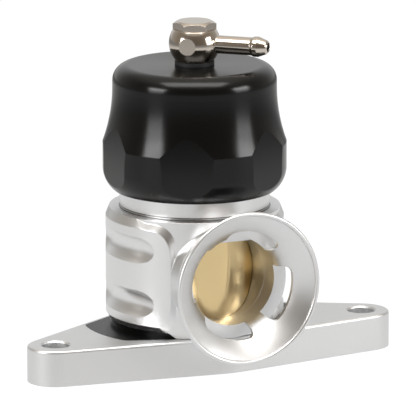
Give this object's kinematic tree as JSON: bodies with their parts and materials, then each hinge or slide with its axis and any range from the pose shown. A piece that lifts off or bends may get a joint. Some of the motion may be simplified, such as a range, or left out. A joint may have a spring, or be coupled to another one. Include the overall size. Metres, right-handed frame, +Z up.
{
  "type": "blow off valve",
  "caption": "Upright valve body with a side trumpet on a two-bolt flange, a sprung brass piston inside, and a black screw cap with a swivelling hose nipple on top.",
  "frame": {"origin": "on the valve axis at the flange's underside, the centre of the inlet bore's mouth", "axes": "+X along the flange's long side, -Y out of the trumpet's mouth, +Z up the valve axis to the cap"},
  "size_m": [0.1252, 0.0699, 0.1086],
  "materials": {
    "mounting_flange": "satin machined, clear anodised",
    "base_insert": "gloss black anodised",
    "base_screws": "plain steel",
    "flange_seal": "matte",
    "insert_seal": "matte",
    "body_seal": "matte",
    "valve_body": "polished, clear anodised",
    "trumpet": "polished, clear anodised",
    "trumpet_seal": "matte",
    "cap_seal": "matte",
    "piston": "turned",
    "piston_face_seal": "matte",
    "piston_ring": "matte",
    "piston_guide_band": "plain",
    "main_spring": "plain spring steel",
    "inner_spring": "plain spring steel",
    "spring_seat": "plain steel",
    "cap": "gloss black anodised, satin at the foot",
    "fitting_washer": "matte",
    "banjo_fitting": "nickel plated",
    "head_seal": "matte",
    "banjo_bolt": "nickel plated"
  },
  "bodies": {
    "base": {"mounting_flange": "mounting_flange", "base_insert": "base_insert", "base_screws": "base_screws", "flange_seal": "flange_seal", "insert_seal": "insert_seal", "body_seal": "body_seal", "valve_body": "valve_body", "trumpet": "trumpet", "trumpet_seal": "trumpet_seal", "cap_seal": "cap_seal"},
    "piston_group": {"piston": "piston", "piston_face_seal": "piston_face_seal", "piston_ring": "piston_ring", "piston_guide_band": "piston_guide_band", "main_spring": "main_spring", "inner_spring": "inner_spring"},
    "preload": {"spring_seat": "spring_seat"},
    "cap_group": {"cap": "cap", "fitting_washer": "fitting_washer", "banjo_bolt": "banjo_bolt", "head_seal": "head_seal"},
    "hose_fitting": {"banjo_fitting": "banjo_fitting"}
  },
  "joints": [
    {"name": "piston_slide", "type": "slide", "parent": "base", "child": "piston_group", "axis": [0, 0, 1], "range_m": [0, 0.0105], "stiffness_N_per_m": 6000, "springref_m": -0.004, "deforming": ["main_spring", "inner_spring"]},
    {"name": "cap_advance", "type": "slide", "parent": "base", "child": "preload", "axis": [0, 0, 1], "range_m": [-0.0045, 0]},
    {"name": "cap_turn", "type": "hinge", "parent": "preload", "child": "cap_group", "pos_m": [0, 0, 0.08], "axis": [0, 0, 1], "range_deg": [-1080, 0]},
    {"name": "nipple_swivel", "type": "hinge", "parent": "cap_group", "child": "hose_fitting", "pos_m": [0, 0, 0.10137], "axis": [0, 0, 1], "continuous": true}
  ],
  "couplings": [
    {"joint": "cap_advance", "follows": "cap_turn", "m_per_rad": 0.00023873}
  ]
}
